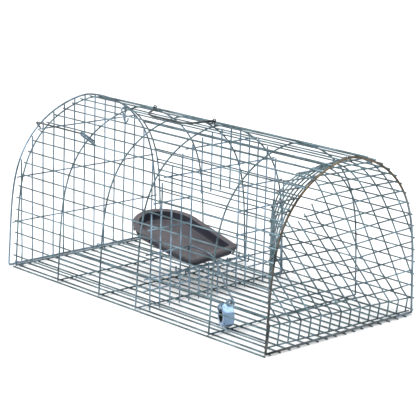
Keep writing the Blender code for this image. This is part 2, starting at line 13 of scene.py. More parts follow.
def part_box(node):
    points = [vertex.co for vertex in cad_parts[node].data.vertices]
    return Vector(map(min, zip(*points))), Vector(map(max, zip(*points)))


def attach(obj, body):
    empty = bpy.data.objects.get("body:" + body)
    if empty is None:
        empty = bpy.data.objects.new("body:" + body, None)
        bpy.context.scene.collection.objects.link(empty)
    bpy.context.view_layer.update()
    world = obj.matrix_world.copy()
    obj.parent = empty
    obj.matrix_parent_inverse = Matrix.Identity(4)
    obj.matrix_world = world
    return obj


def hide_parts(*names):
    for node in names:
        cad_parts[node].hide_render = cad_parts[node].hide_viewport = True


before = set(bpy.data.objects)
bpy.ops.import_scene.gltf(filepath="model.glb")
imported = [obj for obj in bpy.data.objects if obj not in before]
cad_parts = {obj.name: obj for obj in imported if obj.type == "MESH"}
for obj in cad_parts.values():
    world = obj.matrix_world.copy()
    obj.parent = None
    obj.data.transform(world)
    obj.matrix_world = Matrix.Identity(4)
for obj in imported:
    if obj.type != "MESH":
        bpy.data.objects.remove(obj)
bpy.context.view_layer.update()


def centre(node):
    """Middle of the box of a node of the CAD."""
    low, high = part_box(node)
    return 0.5 * (np.array(low) + np.array(high))


# Cage body: hoops along X, and long wires laid over them at an even pitch round the arch
WIDTH = 0.210
HEIGHT = 0.1754
WIRE_RADIUS = 0.00078
HOOP_RADIUS = 0.00085
HOOP_X = (-0.1844, -0.1121, -0.0452, 0.0119, 0.1183)
FRONT_X = centre("front_arch")[0]
FRONT_RADIUS = 0.00115
WIRE_COUNT = 37
WIRE_FIRST = 0.0008
WIRE_PITCH = 0.01266
WIRE_OUT = 0.0015
ABOVE_FLOOR = 0.0001
WELD_RADIUS = 0.0010
REAR_END_X = -0.1872
FRONT_END_X = 0.1945
FLOOR_COUNT = 16
FLOOR_FIRST_Y = -0.0985
FLOOR_PITCH = 0.01271
RAIL_Z = 0.0024

# Entry cone, rolled from a flat sheet of square mesh. The sheet's own origin is the cone's apex,
# and at the knee the sheet bends down to the sill behind the front rail.
APEX = np.array((0.0812, 0.0124, 0.1283))
MOUTH_X = 0.1936
KNEE_NEAR = 0.0290
KNEE_FAR = 0.0175
SHEET_PITCH = 0.01413
SHEET_CROSS_PITCH = 0.01407
SHEET_OFFSET = 0.00233
SHEET_CROSS_OFFSET = 0.1150
SHEET_WIRES = 38
SHEET_CROSS_WIRES = 28
SHEET_TURN = -0.068
SHEET_REACH = 0.30
SHEET_STEP = 0.0012
SHEET_LIFT = 0.0007
THROAT = 0.044
SILL_NEAR_Z = 0.0075
SILL_FAR_Z = 0.0036

# Partition, with a passage over the front of the pan where some uprights are cut away
PARTITION_X = centre("partition_sill")[0] + 0.0004
PARTITION_FIRST_Y = -0.0945
PARTITION_PITCH = 0.0133
PARTITION_COUNT = 15
PASSAGE_ROWS = (5, 6, 7, 8)
PASSAGE_HIGH = 0.1150
PASSAGE_LOW = 0.0330
PARTITION_LEVELS = (0.0210, 0.0330, 0.0580, 0.0830, 0.1090, 0.1340, 0.1590)

# Pan and what rides with it
AXLE_X, AXLE_Z = centre("pan_axle")[[0, 2]]
AXLE_HALF = 0.0520
PAN_PIVOT = np.array((AXLE_X, 0.0, AXLE_Z + 0.0045))
PAN_LENGTH = 0.1085
PAN_FRONT = 0.0045
PAN_HALF = 0.0360
PAN_TAPER = 0.86
PAN_PITCH = math.radians(12.0)
PAN_ROLL = math.radians(3.5)
PAN_RIM = 0.0112
PAN_DEPTH = 0.0115
NUT_CENTRE = centre("hex_nut")
NUT_FLATS = 0.021
NUT_THICK = 0.0110
NUT_BORE = 0.0063
NUT_TURN = math.radians(27)
NUT_FACING = np.array((-math.sin(NUT_TURN), -math.cos(NUT_TURN), 0.0))
NUT_ACROSS = np.array((NUT_FACING[1], -NUT_FACING[0], 0.0))
ARM_Y = -0.0100

# Rear door, latch, handle and bait hook. The latch and the hook hang on numbered long wires.
DOOR_X = centre("door_frame")[0]
DOOR_OUT = 0.0018
DOOR_RADIUS = 0.0010
DOOR_FIRST_Y = -0.0905
DOOR_PITCH = 0.0145
DOOR_COUNT = 14
DOOR_LEVELS = (0.0485, 0.0975, 0.1465)
HINGE_Z = 0.0012
LATCH_WIRE = 12
LATCH_FRONT_X = -0.0920
SPRING_REAR_X = -0.1205
EYE_SHIFT = 0.0022
HANDLE_REAR_X = centre("handle_eye_rear")[0] + EYE_SHIFT
HANDLE_FRONT_X = centre("handle_eye_front")[0] - EYE_SHIFT
HANDLE_Z = centre("handle_eye_rear")[2]
HOOK_WIRE = 17
HOOK_RADIUS = 0.0008
HOOK_EYE = 0.0033
HOOK_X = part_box("bait_hook")[0][0] + HOOK_RADIUS

# Camera
AIM = Vector((0.003715, 0.0, 0.082141))
CAMERA_DISTANCE = 1.734865
CAMERA_AZIMUTH = math.radians(46.23699)
CAMERA_ELEVATION = math.radians(14.20607)
CAMERA_ROLL = math.radians(1.61296)
CAMERA_LENS = 144.147
CAMERA_SHIFT = (0.004225, 0.008052)

# Dark, middle and light tone of each drawn wire, and how metallic it is
WIRE_TONES = {
    "galvanised_wire": ((0.060, 0.095, 0.110), (0.110, 0.170, 0.195), (0.200, 0.290, 0.340), 0.75),
    "hoop_wire": ((0.080, 0.130, 0.160), (0.150, 0.225, 0.290), (0.260, 0.360, 0.460), 0.75),
    "weld_metal": ((0.060, 0.090, 0.100), (0.100, 0.150, 0.165), (0.170, 0.240, 0.270), 0.70),
    "screen_wire": ((0.090, 0.150, 0.190), (0.170, 0.260, 0.340), (0.290, 0.410, 0.520), 0.75),
    "dull_wire": ((0.022, 0.028, 0.032), (0.045, 0.055, 0.060), (0.085, 0.100, 0.105), 0.60),
}

rng = np.random.default_rng(7)


# Materials ----------------------------------------------------------------------------------


class Coat:
    """A node material under construction, with object coordinates to drive its textures."""

    def __init__(self, name, metallic, ior=1.5):
        self.material = bpy.data.materials.new(name)
        self.material.use_nodes = True
        self.tree = self.material.node_tree
        self.shader = self.tree.nodes["Principled BSDF"]
        self.shader.inputs["Metallic"].default_value = metallic
        self.shader.inputs["IOR"].default_value = ior
        self.place = self.tree.nodes.new("ShaderNodeTexCoord").outputs["Object"]

    def link(self, source, target):
        self.tree.links.new(source, target)

    def noise(self, scale, detail=3.0):
        node = self.tree.nodes.new("ShaderNodeTexNoise")
        node.inputs["Scale"].default_value = scale
        node.inputs["Detail"].default_value = detail
        self.link(self.place, node.inputs["Vector"])
        return node.outputs["Fac"]

    def ramp(self, source, *stops):
        """Colours at positions between 0 and 1 of the source."""
        node = self.tree.nodes.new("ShaderNodeValToRGB")
        bands = node.color_ramp.elements
        while len(bands) < len(stops):
            bands.new(0.5)
        for band, (position, colour) in zip(bands, stops):
            band.position = position
            band.color = (*colour, 1.0)
        self.link(source, node.inputs["Fac"])
        return node.outputs["Color"]

    def mix(self, factor, first, second, mode="MIX"):
        """The first colour where the factor is 0, the second where it is 1."""
        node = self.tree.nodes.new("ShaderNodeMix")
        node.data_type = "RGBA"
        node.blend_type = mode
        if isinstance(factor, float):
            node.inputs[0].default_value = factor
        else:
            self.link(factor, node.inputs[0])
        self.link(first, node.inputs[6])
        self.link(second, node.inputs[7])
        return node.outputs[2]

    def axis(self, letter):
        node = self.tree.nodes.new("ShaderNodeSeparateXYZ")
        self.link(self.place, node.inputs["Vector"])
        return node.outputs[letter]

    def span(self, source, low, high, start=0.0, end=1.0):
        """Goes from start to end between two values of the source."""
        node = self.tree.nodes.new("ShaderNodeMapRange")
        node.inputs["From Min"].default_value = low
        node.inputs["From Max"].default_value = high
        node.inputs["To Min"].default_value = start
        node.inputs["To Max"].default_value = end
        self.link(source, node.inputs["Value"])
        return node.outputs["Result"]

    def level(self, source, start, end):
        """Spreads a noise, which seldom leaves 0.3 to 0.7, over a range of roughness."""
        return self.span(source, 0.3, 0.7, start, end)

    def both(self, first, second):
        node = self.tree.nodes.new("ShaderNodeMath")
        node.operation = "MULTIPLY"
        self.link(first, node.inputs[0])
        self.link(second, node.inputs[1])
        return node.outputs["Value"]

    def bump(self, source, strength, distance):
        node = self.tree.nodes.new("ShaderNodeBump")
        node.inputs["Strength"].default_value = strength
        node.inputs["Distance"].default_value = distance
        self.link(source, node.inputs["Height"])
        self.link(node.outputs["Normal"], self.shader.inputs["Normal"])

    def paint(self, colour, roughness):
        self.link(colour, self.shader.inputs["Base Color"])
        self.link(roughness, self.shader.inputs["Roughness"])


def wire_coat(name, dark, middle, light, metallic):
    """Zinc-coated drawn wire: cloudy patches, fine spangle and a slightly dull skin."""
    coat = Coat(name, metallic)
    patches = coat.ramp(coat.noise(38.0, 4.0), (0.34, dark), (0.50, middle), (0.66, light))
    grime = coat.ramp(coat.noise(160.0), (0.30, (0.55, 0.56, 0.55)), (0.55, (1.0, 1.0, 1.0)))
    coat.paint(coat.mix(0.8, patches, grime, "MULTIPLY"), coat.level(coat.noise(420.0), 0.30, 0.50))
    coat.bump(coat.noise(1400.0, 2.0), 0.35, 0.00006)
    return coat.material


def front_hoop_coat(name):
    """Bronzed wire, sooty at the near foot, bare zinc at the far foot and dull along the rail."""
    coat = Coat(name, 0.6)
    brown = coat.ramp(coat.noise(38.0, 4.0), (0.34, (0.040, 0.031, 0.018)),
                      (0.50, (0.085, 0.064, 0.038)), (0.66, (0.160, 0.130, 0.088)))
    bare = coat.ramp(coat.noise(55.0), (0.34, (0.080, 0.120, 0.145)), (0.66, (0.190, 0.270, 0.330)))
    soot = coat.ramp(coat.noise(90.0), (0.40, (0.020, 0.022, 0.024)), (0.72, (0.110, 0.105, 0.095)))
    across = coat.axis("Y")
    height = coat.axis("Z")
    low = coat.span(height, 0.140, 0.095)
    wire = coat.mix(coat.span(height, 0.014, 0.005), brown, coat.mix(0.45, bare, brown))
    wire = coat.mix(coat.both(low, coat.span(across, 0.060, 0.085)), wire, bare)
    wire = coat.mix(coat.both(low, coat.span(across, -0.060, -0.085)), wire, soot)
    coat.paint(wire, coat.level(coat.noise(420.0), 0.30, 0.50))
    coat.bump(coat.noise(1400.0, 2.0), 0.35, 0.00006)
    return coat.material


def plastic_coat(name, dark, light):
    """Dark recycled plastic with a fine grain and dust on it."""
    coat = Coat(name, 0.0, 1.47)
    body = coat.ramp(coat.noise(26.0, 5.0), (0.32, dark), (0.68, light))
    dust = coat.ramp(coat.noise(240.0, 4.0), (0.40, (0.80, 0.80, 0.84)), (0.72, (1.25, 1.18, 1.16)))
    coat.paint(coat.mix(0.7, body, dust, "MULTIPLY"), coat.level(coat.noise(90.0), 0.42, 0.62))
    coat.bump(coat.noise(2600.0), 0.25, 0.00010)
    return coat.material


def zinc_coat(name):
    """Bright zinc plate with a faint blue bloom."""
    coat = Coat(name, 0.85)
    body = coat.ramp(coat.noise(70.0, 4.0), (0.30, (0.19, 0.30, 0.45)), (0.70, (0.36, 0.50, 0.68)))
    bloom = coat.ramp(coat.noise(420.0), (0.35, (0.80, 0.84, 0.88)), (0.65, (1.0, 1.0, 1.0)))
    coat.paint(coat.mix(0.7, body, bloom, "MULTIPLY"), coat.level(coat.noise(300.0), 0.22, 0.38))
    coat.bump(coat.noise(1200.0, 2.0), 0.25, 0.00008)
    return coat.material


def thread_coat(name):
    """Oiled, unplated steel in the nut's bore."""
    coat = Coat(name, 0.3)
    body = coat.ramp(coat.noise(300.0), (0.35, (0.004, 0.005, 0.008)), (0.70, (0.020, 0.026, 0.036)))
    coat.paint(body, coat.level(coat.noise(600.0), 0.45, 0.65))
    return coat.material


def paper_coat(name):
    """The pale paper that the trap stands on."""
    coat = Coat(name, 0.0)
    paper = coat.ramp(coat.noise(3.0, 2.0), (0.3, (0.90, 0.90, 0.90)), (0.7, (0.92, 0.92, 0.92)))
    coat.paint(paper, coat.level(coat.noise(6.0), 0.8, 0.9))
    return coat.material


# Wires --------------------------------------------------------------------------------------


def unit(vector):
    return vector / np.linalg.norm(vector)


def circle(count):
    """Evenly spaced angles round a full turn."""
    return [2.0 * math.pi * k / count for k in range(count)]


class Bundle:
    """Wires, welds and other shells that become one object."""

    def __init__(self):
        self.points = []
        self.faces = []
        self.soft = []
        self.coats = []
        self.count = 0

    def add_faces(self, faces, start, soft, coat):
        """Faces whose corners are counted from the point numbered start."""
        self.faces += [[start + n for n in face] for face in faces]
        self.soft += [soft] * len(faces)
        self.coats += [coat] * len(faces)

    def shell(self, points, faces, soft=True, coat=0):
        start = self.count
        self.points.append(np.asarray(points, float))
        self.count += len(points)
        self.add_faces(faces, start, soft, coat)

    def wire(self, path, radius, sides=8, closed=False, coat=0):
        """A round wire along a path, with slightly rounded cut ends."""
        path = np.asarray(path, float)
        steps = np.linalg.norm(np.diff(path, axis=0), axis=1)
        path = path[np.concatenate([[True], steps > 1e-6])]
        after = np.roll(path, -1, axis=0) - path
        before = path - np.roll(path, 1, axis=0)
        if not closed:
            after[-1] = before[-1]
            before[0] = after[0]
        after /= np.linalg.norm(after, axis=1)[:, None]
        before /= np.linalg.norm(before, axis=1)[:, None]
        along = after + before
        along /= np.linalg.norm(along, axis=1)[:, None]
        guide = np.array((0.0, 0.0, 1.0)) if abs(along[0][2]) < 0.9 else np.array((0.0, 1.0, 0.0))
        turn = np.arange(sides) * 2.0 * math.pi / sides
        rings = []
        side = unit(np.cross(along[0], guide))
        for k in range(len(path)):
            side = unit(side - along[k] * along[k].dot(side))
            lift = np.cross(along[k], side)
            stretch = 1.0 / max(0.5, float(along[k].dot(after[k])))
            ring = np.cos(turn)[:, None] * side + np.sin(turn)[:, None] * lift
            rings.append(path[k] + radius * ring * (0.5 + 0.5 * stretch))
        if not closed:
            nose = 0.35 * radius
            rings.insert(0, path[0] + (rings[0] - path[0]) * 0.72 - along[0] * nose)
            rings.append(path[-1] + (rings[-1] - path[-1]) * 0.72 + along[-1] * nose)
        total = len(rings)
        faces = []
        for k in range(total if closed else total - 1):
            other = (k + 1) % total
            for n in range(sides):
                m = (n + 1) % sides
                faces.append((k * sides + n, k * sides + m, other * sides + m, other * sides + n))
        caps = []
        if not closed:
            caps = [list(range(sides))[::-1], [(total - 1) * sides + n for n in range(sides)]]
        self.shell(np.vstack(rings), faces, True, coat)
        self.add_faces(caps, self.count - total * sides, False, coat)

    def weld(self, point, radius, coat=0, flat=(1.0, 1.0, 1.0)):
        """The small lump of metal where two wires are fused."""
        rows = 4
        around = 8
        points = [(0.0, 0.0, -radius)]
        for row in range(1, rows):
            tilt = math.pi * row / rows - math.pi / 2
            level = radius * math.cos(tilt)
            for turn in circle(around):
                points.append((level * math.cos(turn), level * math.sin(turn), radius * math.sin(tilt)))
        points.append((0.0, 0.0, radius))
        top = len(points) - 1
        faces = []
        for k in range(around):
            m = (k + 1) % around
            faces.append((0, 1 + m, 1 + k))
            faces.append((top, top - around + k, top - around + m))
            for row in range(rows - 2):
                low = 1 + row * around
                faces.append((low + k, low + m, low + around + m, low + around + k))
        self.shell(np.array(points) * np.array(flat) + np.asarray(point, float), faces, True, coat)

    def build(self, name, coats, body, replaces=()):
        mesh = bpy.data.meshes.new(name)
        points = np.vstack(self.points)
        mesh.from_pydata([tuple(p) for p in points], [], self.faces)
        mesh.polygons.foreach_set("use_smooth", self.soft)
        for coat in coats:
            mesh.materials.append(coat)
        mesh.polygons.foreach_set("material_index", self.coats)
        mesh.update()
        piece = bpy.data.objects.new(name, mesh)
        bpy.context.scene.collection.objects.link(piece)
        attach(piece, body)
        if replaces:
            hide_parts(*replaces)
        return piece


def rounded(corners, bend, steps=5):
    """A path through corners, each rounded off within the distance bend."""
    corners = [np.asarray(c, float) for c in corners]
    path = [corners[0]]
    for k in range(1, len(corners) - 1):
        here = corners[k]
        back = corners[k - 1] - here
        ahead = corners[k + 1] - here
        cut = min(bend, 0.45 * np.linalg.norm(back), 0.45 * np.linalg.norm(ahead))
        start = here + unit(back) * cut
        end = here + unit(ahead) * cut
        for step in range(steps + 1):
            t = step / steps
            path.append((1 - t) ** 2 * start + 2 * t * (1 - t) * here + t * t * end)
    path.append(corners[-1])
    return path


def straight(start, end, step=0.012):
    """Evenly spaced points on a line, so that it can be bent a little."""
    start = np.asarray(start, float)
    end = np.asarray(end, float)
    count = max(2, int(np.linalg.norm(end - start) / step) + 1)
    return np.array([start + (end - start) * k / (count - 1) for k in range(count)])


def wander(path, size):
    """Adds the slight unevenness of hand-straightened wire, none of it at the ends."""
    path = np.array(path, float)
    share = np.linspace(0.0, 1.0, len(path))
    for axis in range(3):
        swing = np.zeros(len(path))
        for waves in (1.0, 2.3, 4.1):
            swing += rng.normal() / waves * np.sin(math.pi * (waves * share + rng.random()))
        hold = np.clip(np.minimum(share, 1.0 - share) * 12.0, 0.0, 1.0)
        path[:, axis] += size * swing * hold
    return path


# The arch that all the hoops follow ---------------------------------------------------------


def arch_half_width(z):
    """Half the width of the body at a height: upright at the foot, round at the crown."""
    share = min(max(z / HEIGHT, 0.0), 1.0)
    bulge = 0.5 * (1.0 - share ** 4.14) ** (1.0 / 1.566)
    return WIDTH * bulge - 0.069 * z * (1.0 - share)


def arch_table(steps=900):
    """Points (y, z) from the near foot over the crown to the far foot, and their arc lengths."""
    rise = [HEIGHT * (1.0 - (1.0 - k / steps) ** 3) for k in range(steps + 1)]
    near = [(-arch_half_width(z), z) for z in rise]
    far = [(-y, z) for y, z in reversed(near[:-1])]
    line = np.array(near + far)
    return line, np.concatenate([[0.0], np.cumsum(np.hypot(*np.diff(line, axis=0).T))])


ARCH, ARCH_S = arch_table()
ARCH_LENGTH = float(ARCH_S[-1])


def wire_place(number):
    """Arc length at which a long wire of the body runs."""
    return WIRE_FIRST + number * WIRE_PITCH


def arch_point(s, out=0.0):
    """(y, z) at arc length s from the near foot, moved outwards."""

    def at(where):
        return np.array([np.interp(where, ARCH_S, ARCH[:, k]) for k in range(2)])

    along = unit(at(s + 0.0015) - at(s - 0.0015))
    return at(s) + out * np.array((-along[1], along[0]))


def arch_top(y, inside=0.0):
    """Height of the arch over a point of the floor."""
    heights = np.linspace(0.01, HEIGHT, 700)
    widths = np.array([arch_half_width(float(z)) for z in heights]) - inside
    return float(heights[widths > abs(y)].max()) - inside


def hoop_path(x, out=0.0, rail=RAIL_Z):
    """A closed hoop: the arch, and a straight rail across the floor."""
    corner = 0.0035
    path = []
    for s in np.linspace(corner, ARCH_LENGTH - corner, 110):
        y, z = arch_point(float(s), out)
        path.append((x, y, max(z, rail)))
    near = path[0]
    far = path[-1]
    edge = abs(near[1]) - 0.0002
    bend = abs(near[1]) - 0.0060
    tail = rounded([far, (x, edge, rail), (x, bend, rail)], 0.0030, 4)[1:]
    rail_path = straight((x, bend, rail), (x, -bend, rail))[1:-1]
    head = rounded([(x, -bend, rail), (x, -edge, rail), near], 0.0030, 4)[:-1]
    return np.vstack([path, tail, rail_path, head])


# Cage ---------------------------------------------------------------------------------------


def build_body(coats):
    panels = (
        ("long_wires_near", 0, 13, ("wall_near", "shoulder_near_low", "shoulder_near_high")),
        ("long_wires_crown", 13, 24, ("roof_near", "roof_crown", "roof_far")),
        ("long_wires_far", 24, WIRE_COUNT, ("shoulder_far_high", "shoulder_far_low", "wall_far")),
    )
    for name, first, last, replaced in panels:
        bundle = Bundle()
        for k in range(first, last):
            y, z = arch_point(wire_place(k), WIRE_OUT)
            z = max(z, WIRE_RADIUS + ABOVE_FLOOR)
            rear = REAR_END_X + rng.uniform(-0.0008, 0.0006)
            front = FRONT_END_X + rng.uniform(-0.0006, 0.0012)
            bundle.wire(wander(straight((rear, y, z), (front, y, z)), 0.00018), WIRE_RADIUS)
            touch_y, touch_z = arch_point(wire_place(k), WIRE_OUT * 0.5)
            for x in HOOP_X + (FRONT_X,):
                bundle.weld((x, touch_y, max(touch_z, 0.001)), WELD_RADIUS, 1)
        bundle.build(name, coats, "cage", replaced)
    for letter, x in zip("abcde", HOOP_X):
        bundle = Bundle()
        bundle.wire(wander(hoop_path(x), 0.00012), HOOP_RADIUS, closed=True)
        bundle.build("hoop_" + letter, coats, "cage")


def build_floor_mesh(coats):
    bundle = Bundle()
    z = WIRE_RADIUS + ABOVE_FLOOR
    for k in range(FLOOR_COUNT):
        y = FLOOR_FIRST_Y + FLOOR_PITCH * k
        rear = REAR_END_X + rng.uniform(-0.0010, 0.0008)
        share = k / (FLOOR_COUNT - 1)
        front = FRONT_X + 0.0012 + 0.0022 * share + rng.uniform(-0.0004, 0.0008)
        bundle.wire(wander(straight((rear, y, z), (front, y, z)), 0.00010), WIRE_RADIUS)
        for x in HOOP_X + (FRONT_X,):
            bundle.weld((x, y, 0.5 * (z + RAIL_Z)), 0.00105, 1)
    bundle.build("floor_wires", coats, "cage", ("floor_mesh",))


def build_front_hoop(coats):
    bundle = Bundle()
    bundle.wire(hoop_path(FRONT_X, -0.0006), FRONT_RADIUS, sides=10, closed=True)
    bundle.build("front_hoop", coats, "cage", ("front_arch",))


# Entry cone ---------------------------------------------------------------------------------


def cone_table():
    """Angle, reach and direction of the cone's rays, cut open along the crown."""
    found = []
    middle_z = 0.5 * (KNEE_FAR + KNEE_NEAR)
    for side, knee_z in ((1.0, KNEE_FAR), (-1.0, KNEE_NEAR)):
        knee_y = arch_half_width(knee_z)
        line = []
        for share in np.linspace(0.0, 1.0, 30):
            line.append((side * knee_y * share, middle_z + (knee_z - middle_z) * share))
        lower = ARCH[:450]
        start = float(np.interp(knee_z, lower[:, 1], ARCH_S[:450]))
        for s in np.linspace(start, ARCH_LENGTH / 2, 400):
            y, z = arch_point(float(s))
            line.append((-side * y, z))
        mouth = np.column_stack((np.full(len(line), MOUTH_X), line))
        rays = mouth - APEX
        reach = np.linalg.norm(rays, axis=1)
        rays = rays / reach[:, None]
        turns = np.arccos(np.clip((rays[1:] * rays[:-1]).sum(axis=1), -1.0, 1.0))
        found.append((np.concatenate([[0.0], np.cumsum(turns)]), reach, rays))
    (far_t, far_r, far_u), (near_t, near_r, near_u) = found
    angle = np.concatenate([-near_t[::-1], far_t[1:]])
    return angle, np.concatenate([near_r[::-1], far_r[1:]]), np.vstack([near_u[::-1], far_u[1:]])


CONE_ANGLE, CONE_REACH, CONE_RAYS = cone_table()


def cone_ray(angle):
    return np.array([np.interp(angle, CONE_ANGLE, CONE_RAYS[:, k]) for k in range(3)])


def cone_point(angle, distance, out):
    """A point of the cone, moved off its surface by out."""
    ray = unit(cone_ray(angle))
    round_it = cone_ray(angle + 0.02) - cone_ray(angle - 0.02)
    return APEX + ray * distance + out * unit(np.cross(ray, round_it))


def sheet_runs(offset, lengthwise):
    """The parts of one wire of the flat sheet that lie on the cone, as lists of (angle, distance)."""
    runs = []
    run = []
    inner = THROAT * (1.0 + 0.10 * rng.random())
    for t in np.arange(-SHEET_REACH, SHEET_REACH, SHEET_STEP):
        x, y = (offset, t) if lengthwise else (t, offset)
        turned_x = math.cos(SHEET_TURN) * x - math.sin(SHEET_TURN) * y
        turned_y = math.sin(SHEET_TURN) * x + math.cos(SHEET_TURN) * y
        angle = math.atan2(turned_x, turned_y)
        distance = math.hypot(turned_x, turned_y)
        reach = np.interp(angle, CONE_ANGLE, CONE_REACH)
        if CONE_ANGLE[0] <= angle <= CONE_ANGLE[-1] and inner < distance < reach:
            run.append((angle, distance))
        elif run:
            runs.append(run)
            run = []
    return [run for run in runs if len(run) > 6]


def sheet_path(run, out):
    """Every third point of a run, and its last."""
    return [cone_point(angle, distance, out) for angle, distance in run[:-1:3] + run[-1:]]


def knee_height(y):
    """Height at which the sheet bends down in front, higher on the near side."""
    return np.interp(y, (-0.5 * WIDTH, 0.5 * WIDTH), (KNEE_NEAR, KNEE_FAR))


def sill_height(y):
    """Height of the lowest wire behind the front rail."""
    return np.interp(y, (-0.5 * WIDTH, 0.5 * WIDTH), (SILL_NEAR_Z, SILL_FAR_Z))


def build_cone(coats):
    lengthwise = Bundle()
    for k in range(-SHEET_WIRES, SHEET_WIRES):
        for run in sheet_runs(SHEET_OFFSET + SHEET_PITCH * k, True):
            path = sheet_path(run, SHEET_LIFT)
            for end in (0, -1):
                top = path[end]
                if abs(top[2] - knee_height(top[1])) < 0.0016 and top[0] > 0.18:
                    foot = (MOUTH_X - 0.0012, top[1] - 0.0012, sill_height(top[1]))
                    tail = list(straight(top, foot, 0.004))[1:]
                    path = tail[::-1] + path if end == 0 else path + tail
            lengthwise.wire(path, WIRE_RADIUS)
    crosswise = Bundle()
    for k in range(-SHEET_CROSS_WIRES, SHEET_CROSS_WIRES):
        for run in sheet_runs(SHEET_CROSS_OFFSET + SHEET_CROSS_PITCH * k, False):
            crosswise.wire(sheet_path(run, -SHEET_LIFT), WIRE_RADIUS)
    lengthwise.build("cone_wires_lengthwise", coats, "cage",
                     ("funnel_near_low", "funnel_near_side", "funnel_near_high", "funnel_near_crown"))
    crosswise.build("cone_wires_crosswise", coats, "cage",
                    ("funnel_far_low", "funnel_far_side", "funnel_far_high", "funnel_far_crown"))
    sill = Bundle()
    half = arch_half_width(KNEE_FAR) - 0.001
    for height, x in ((knee_height, MOUTH_X - 0.0006), (sill_height, MOUTH_X - 0.0022)):
        path = straight((x, -half, height(-half)), (x, half, height(half)))
        sill.wire(wander(path, 0.0002), WIRE_RADIUS)
    sill.build("sill_wires", coats, "cage", ("funnel_sill",))


# Partition ----------------------------------------------------------------------------------


def build_partition(coats):
    bundle = Bundle()
    rows = [PARTITION_FIRST_Y + PARTITION_PITCH * k for k in range(PARTITION_COUNT)]
    x = PARTITION_X
    for k, y in enumerate(rows):
        top = arch_top(y, 0.0008)
        if k in PASSAGE_ROWS:
            bundle.wire(straight((x, y, 0.0008), (x, y, PASSAGE_LOW + 0.0035)), WIRE_RADIUS)
            bundle.wire(straight((x, y, PASSAGE_HIGH - 0.004), (x, y, top)), WIRE_RADIUS)
        else:
            bundle.wire(wander(straight((x, y, 0.0008), (x, y, top)), 0.00020), WIRE_RADIUS)
    far_edge = rows[PASSAGE_ROWS[-1] + 1]
    near_edge = rows[PASSAGE_ROWS[0] - 1]
    x = PARTITION_X - 1.8 * WIRE_RADIUS
    for z in PARTITION_LEVELS:
        half = arch_half_width(z) - 0.0018
        spans = [(-half, half)]
        if PASSAGE_LOW + 0.002 < z < PASSAGE_HIGH - 0.002:
            spans = [(-half, near_edge + 0.0006), (far_edge - 0.0006, half)]
        for low, high in spans:
            bundle.wire(straight((x, low, z), (x, high, z)), WIRE_RADIUS)
    bundle.build("partition_wires", coats, "cage",
                 ("partition_sill", "partition_header", "partition_near_field", "partition_far_field"))


# Door ---------------------------------------------------------------------------------------


def build_door(coats):
    frame_wire = Bundle()
    frame_wire.wire(hoop_path(DOOR_X, DOOR_OUT, HINGE_Z), DOOR_RADIUS, sides=10, closed=True)
    frame_wire.build("door_frame_wire", coats, "rear_door", ("door_frame",))
    mesh = Bundle()
    x = DOOR_X + DOOR_RADIUS + WIRE_RADIUS - 0.0002
    for k in range(DOOR_COUNT):
        y = DOOR_FIRST_Y + DOOR_PITCH * k
        top = arch_top(y) + 0.0016
        mesh.wire(wander(straight((x, y, HINGE_Z), (x, y, top)), 0.00020), WIRE_RADIUS)
    x += 1.8 * WIRE_RADIUS
    for z in DOOR_LEVELS:
        half = arch_half_width(z) + 0.0016
        mesh.wire(wander(straight((x, -half, z), (x, half, z)), 0.0002), WIRE_RADIUS)
    mesh.build("door_mesh_wires", coats, "rear_door", ("door_mesh",))


def build_hog_rings(coats):
    """Two bent clips, closed round the door's bottom wire and the last hoop's."""
    reach = DOOR_RADIUS + 0.0012
    front = HOOP_X[0] + HOOP_RADIUS + 0.0008
    for name, node in (("hog_ring_near", "door_ring_near"), ("hog_ring_far", "door_ring_far")):
        y = centre(node)[1]
        loop = [(DOOR_X - 0.5 * reach, y, 0.0005), (DOOR_X - reach, y, HINGE_Z)]
        loop.append((DOOR_X - 0.6 * reach, y, HINGE_Z + reach))
        loop.append((front - 0.0010, y, HINGE_Z + reach + 0.0006))
        loop += [(front, y, HINGE_Z + 0.0016), (front - 0.0006, y, 0.0006)]
        ring = Bundle()
        ring.wire(rounded(loop, 0.0012), 0.00065)
        ring.build(name, coats, "cage", (node,))


# Latch, handle and bait hook ----------------------------------------------------------------


def coil(start, end, radius, turns, steps=14):
    """A winding of wire round the line from start to end."""
    start = np.asarray(start, float)
    end = np.asarray(end, float)
    axis = unit(end - start)
    side = unit(np.cross(axis, (0.0, 0.0, 1.0)))
    lift = np.cross(side, axis)
    path = []
    for k in range(int(turns * steps) + 1):
        turn = 2.0 * math.pi * k / steps
        centre = start + (end - start) * k / (turns * steps)
        path.append(centre + radius * (math.cos(turn) * side + math.sin(turn) * lift))
    return path


def build_latch(coats, light):
    wire = wire_place(LATCH_WIRE)
    y, z = arch_point(wire + 0.0072, 0.0052)
    tip_y, tip_z = arch_point(wire + 0.0072, -0.0040)
    end = DOOR_X - DOOR_RADIUS - 0.0018
    rod = Bundle()
    rod.wire(rounded([(SPRING_REAR_X + 0.004, y, z), (end, y, z), (end, tip_y, tip_z)], 0.0025), 0.0009)
    rod.build("latch_rod_bent", coats, "latch", ("latch_rod",))
    front_y, front_z = arch_point(wire + 0.0012, 0.0044)
    hook_y, hook_z = arch_point(wire, 0.0026)
    turns = coil((SPRING_REAR_X, y, z), (LATCH_FRONT_X - 0.003, front_y, front_z), 0.0019, 13)
    winding = Bundle()
    winding.wire(turns + [(LATCH_FRONT_X, hook_y, hook_z)], 0.0005, sides=6)
    winding.build("latch_winding", light, "latch", ("latch_spring",))


